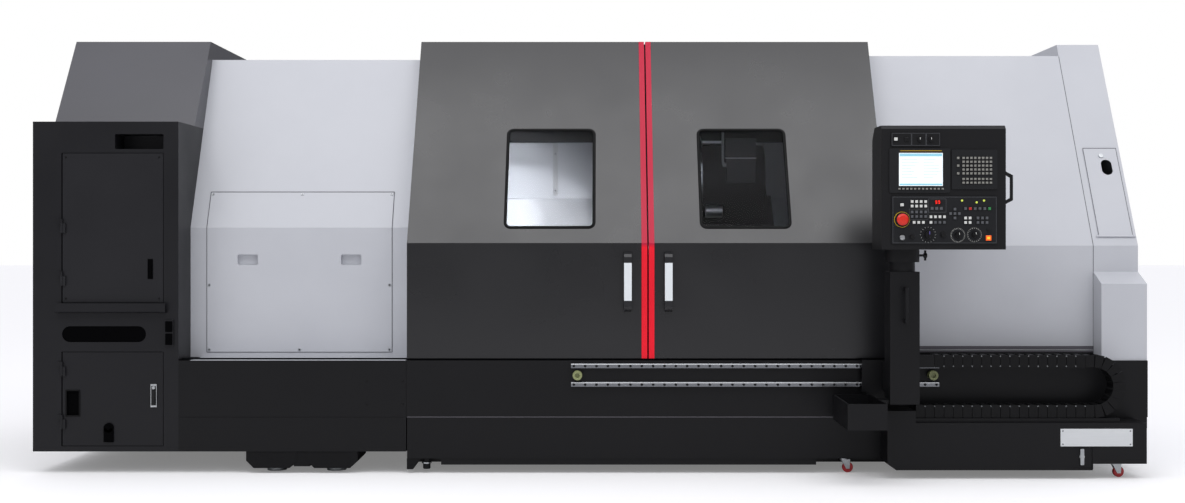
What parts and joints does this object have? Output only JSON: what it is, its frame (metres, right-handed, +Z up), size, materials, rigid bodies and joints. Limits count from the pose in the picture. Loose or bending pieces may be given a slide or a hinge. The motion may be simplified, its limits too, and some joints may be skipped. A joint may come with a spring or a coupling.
{
  "type": "cnc turning lathe",
  "caption": "Large slant-bed CNC turning lathe with sliding windowed doors, a control pendant on rails, a chuck, a tool turret and a tailstock in a sheet-metal enclosure.",
  "frame": {"origin": "centre of the bounding box's bottom face, on the floor", "axes": "+Z up, +X along the spindle from headstock to tailstock, the doors and pendant face -Y"},
  "size_m": [5.92, 2.58, 2.38],
  "materials": {
    "black_paint": "satin",
    "charcoal_paint": "satin",
    "grey_paint": "satin",
    "hood_paint": "satin",
    "red_paint": "satin",
    "machine_paint": "satin",
    "cast_iron": "machined",
    "steel": "ground",
    "stainless": "brushed",
    "zinc": "zinc plated",
    "glass": "clear",
    "white_plastic": "gloss",
    "black_plastic": "matte",
    "panel_grey": "matte",
    "red_plastic": "gloss",
    "urethane": "matte",
    "wheel_red": "matte"
  },
  "bodies": {
    "machine": {"bed_casting": "cast_iron", "levelling_feet": "steel", "base_cover_left": "black_paint", "base_cover_centre": "black_paint", "chain_trough": "black_paint", "coolant_tank": "black_paint", "guide_rails": "steel", "rail_bumpers": "urethane", "chain_lower": "black_plastic", "headstock_cover": "grey_paint", "access_panel": "grey_paint", "tailstock_cover": "grey_paint", "end_cover": "grey_paint", "door_track": "steel", "rear_enclosure": "grey_paint", "utility_cabinet": "charcoal_paint", "cabinet_hood": "hood_paint", "hydraulic_unit": "machine_paint", "headstock": "machine_paint", "splash_guard": "stainless"},
    "left_door": {"left_door": "black_paint", "left_window": "glass", "left_strip": "red_paint", "left_handle": "white_plastic"},
    "right_door": {"right_door": "black_paint", "right_window": "glass", "right_strip": "red_paint", "right_handle": "white_plastic"},
    "upper_cabinet_door": {"upper_cabinet_door": "charcoal_paint"},
    "lower_cabinet_door": {"lower_cabinet_door": "charcoal_paint"},
    "service_lid": {"service_lid": "grey_paint"},
    "spindle": {"spindle": "steel", "chuck": "steel"},
    "jaw_1": {"jaw_1": "steel"},
    "jaw_2": {"jaw_2": "steel"},
    "jaw_3": {"jaw_3": "steel"},
    "carriage": {"saddle": "machine_paint", "saddle_covers": "stainless"},
    "middle_covers": {"middle_covers": "stainless"},
    "cross_slide": {"cross_slide": "machine_paint"},
    "turret": {"turret_disc": "steel"},
    "tailstock": {"tailstock": "machine_paint"},
    "quill": {"quill": "steel"},
    "pendant_carriage": {"pendant_column": "black_paint", "tool_tray": "black_paint", "chain_upper": "black_plastic"},
    "chain_bend": {"chain_bend": "black_plastic"},
    "pendant": {"pendant_box": "black_paint", "display_unit": "panel_grey", "keypad_unit": "panel_grey", "operator_panel": "panel_grey"},
    "estop": {"estop_button": "red_plastic"},
    "mode_dial": {"mode_dial": "black_plastic"},
    "feed_dial": {"feed_dial": "black_plastic"},
    "spindle_dial": {"spindle_dial": "black_plastic"},
    "swivel_knob": {"swivel_knob": "black_plastic"},
    "caster_fork_left": {"caster_fork_left": "zinc"},
    "caster_wheel_left": {"caster_wheel_left": "wheel_red"},
    "caster_fork_right": {"caster_fork_right": "zinc"},
    "caster_wheel_right": {"caster_wheel_right": "wheel_red"}
  },
  "joints": [
    {"name": "left_door_slide", "type": "slide", "parent": "machine", "child": "left_door", "axis": [1, 0, 0], "range_m": [-1.1, 0]},
    {"name": "right_door_slide", "type": "slide", "parent": "machine", "child": "right_door", "axis": [1, 0, 0], "range_m": [0, 1.1]},
    {"name": "upper_cabinet_hinge", "type": "hinge", "parent": "machine", "child": "upper_cabinet_door", "pos_m": [-2.805, -0.818, 1.3], "axis": [0, 0, -1], "range_deg": [0, 110]},
    {"name": "lower_cabinet_hinge", "type": "hinge", "parent": "machine", "child": "lower_cabinet_door", "pos_m": [-2.805, -0.818, 0.4], "axis": [0, 0, -1], "range_deg": [0, 110]},
    {"name": "service_lid_hinge", "type": "hinge", "parent": "machine", "child": "service_lid", "pos_m": [2.8485, -0.65483, 1.26037], "axis": [1, 0, 0], "range_deg": [0, 85]},
    {"name": "spindle_spin", "type": "hinge", "parent": "machine", "child": "spindle", "pos_m": [-0.9, -0.09, 1.18], "axis": [1, 0, 0], "continuous": true},
    {"name": "jaw_1_slide", "type": "slide", "parent": "spindle", "child": "jaw_1", "axis": [0, 0, 1], "range_m": [-0.02, 0.02]},
    {"name": "jaw_2_slide", "type": "slide", "parent": "spindle", "child": "jaw_2", "axis": [0, -0.866, -0.5], "range_m": [-0.02, 0.02]},
    {"name": "jaw_3_slide", "type": "slide", "parent": "spindle", "child": "jaw_3", "axis": [0, 0.866, -0.5], "range_m": [-0.02, 0.02]},
    {"name": "carriage_slide", "type": "slide", "parent": "machine", "child": "carriage", "axis": [1, 0, 0], "range_m": [-0.84, 0]},
    {"name": "middle_cover_slide", "type": "slide", "parent": "machine", "child": "middle_covers", "axis": [1, 0, 0], "range_m": [-0.42, 0]},
    {"name": "cross_slide", "type": "slide", "parent": "carriage", "child": "cross_slide", "axis": [0, 0.7071, 0.7071], "range_m": [-0.3, 0.05]},
    {"name": "turret_index", "type": "hinge", "parent": "cross_slide", "child": "turret", "pos_m": [0.61, 0.36255, 1.63255], "axis": [1, 0, 0], "continuous": true},
    {"name": "tailstock_slide", "type": "slide", "parent": "machine", "child": "tailstock", "axis": [1, 0, 0], "range_m": [-0.5, 0]},
    {"name": "quill_slide", "type": "slide", "parent": "tailstock", "child": "quill", "axis": [1, 0, 0], "range_m": [-0.2, 0]},
    {"name": "pendant_slide", "type": "slide", "parent": "machine", "child": "pendant_carriage", "axis": [1, 0, 0], "range_m": [-1.48, 0.045], "deforming": ["chain_upper", "chain_lower"]},
    {"name": "chain_bend_slide", "type": "slide", "parent": "machine", "child": "chain_bend", "axis": [1, 0, 0], "range_m": [-0.74, 0.0225]},
    {"name": "pendant_swivel", "type": "hinge", "parent": "pendant_carriage", "child": "pendant", "pos_m": [1.599, -1.07, 1.15], "axis": [0, 0, 1], "range_deg": [-90, 15]},
    {"name": "estop_push", "type": "slide", "parent": "pendant", "child": "estop", "axis": [0, 1, 0], "range_m": [0, 0.006], "stiffness_N_per_m": 1500},
    {"name": "mode_dial_turn", "type": "hinge", "parent": "pendant", "child": "mode_dial", "pos_m": [1.692, -1.24, 1.266], "axis": [0, 1, 0], "range_deg": [-120, 120]},
    {"name": "feed_dial_turn", "type": "hinge", "parent": "pendant", "child": "feed_dial", "pos_m": [1.84, -1.24, 1.264], "axis": [0, 1, 0], "range_deg": [-135, 135]},
    {"name": "spindle_dial_turn", "type": "hinge", "parent": "pendant", "child": "spindle_dial", "pos_m": [1.923, -1.24, 1.266], "axis": [0, 1, 0], "range_deg": [-90, 90]},
    {"name": "swivel_knob_turn", "type": "hinge", "parent": "pendant", "child": "swivel_knob", "pos_m": [1.699, -1.07, 1.161], "axis": [1, 0, 0], "range_deg": [-180, 180]},
    {"name": "caster_swivel_left", "type": "hinge", "parent": "machine", "child": "caster_fork_left", "pos_m": [1.353, -0.765, 0.07], "axis": [0, 0, 1], "continuous": true},
    {"name": "caster_roll_left", "type": "hinge", "parent": "caster_fork_left", "child": "caster_wheel_left", "pos_m": [1.373, -0.765, 0.0285], "axis": [0, 1, 0], "continuous": true},
    {"name": "caster_swivel_right", "type": "hinge", "parent": "machine", "child": "caster_fork_right", "pos_m": [2.745, -0.91, 0.07], "axis": [0, 0, 1], "continuous": true},
    {"name": "caster_roll_right", "type": "hinge", "parent": "caster_fork_right", "child": "caster_wheel_right", "pos_m": [2.765, -0.91, 0.0285], "axis": [0, 1, 0], "continuous": true}
  ],
  "couplings": [
    {"joint": "jaw_2_slide", "follows": "jaw_1_slide", "ratio": 1},
    {"joint": "jaw_3_slide", "follows": "jaw_1_slide", "ratio": 1},
    {"joint": "middle_cover_slide", "follows": "carriage_slide", "ratio": 0.5},
    {"joint": "chain_bend_slide", "follows": "pendant_slide", "ratio": 0.5}
  ]
}
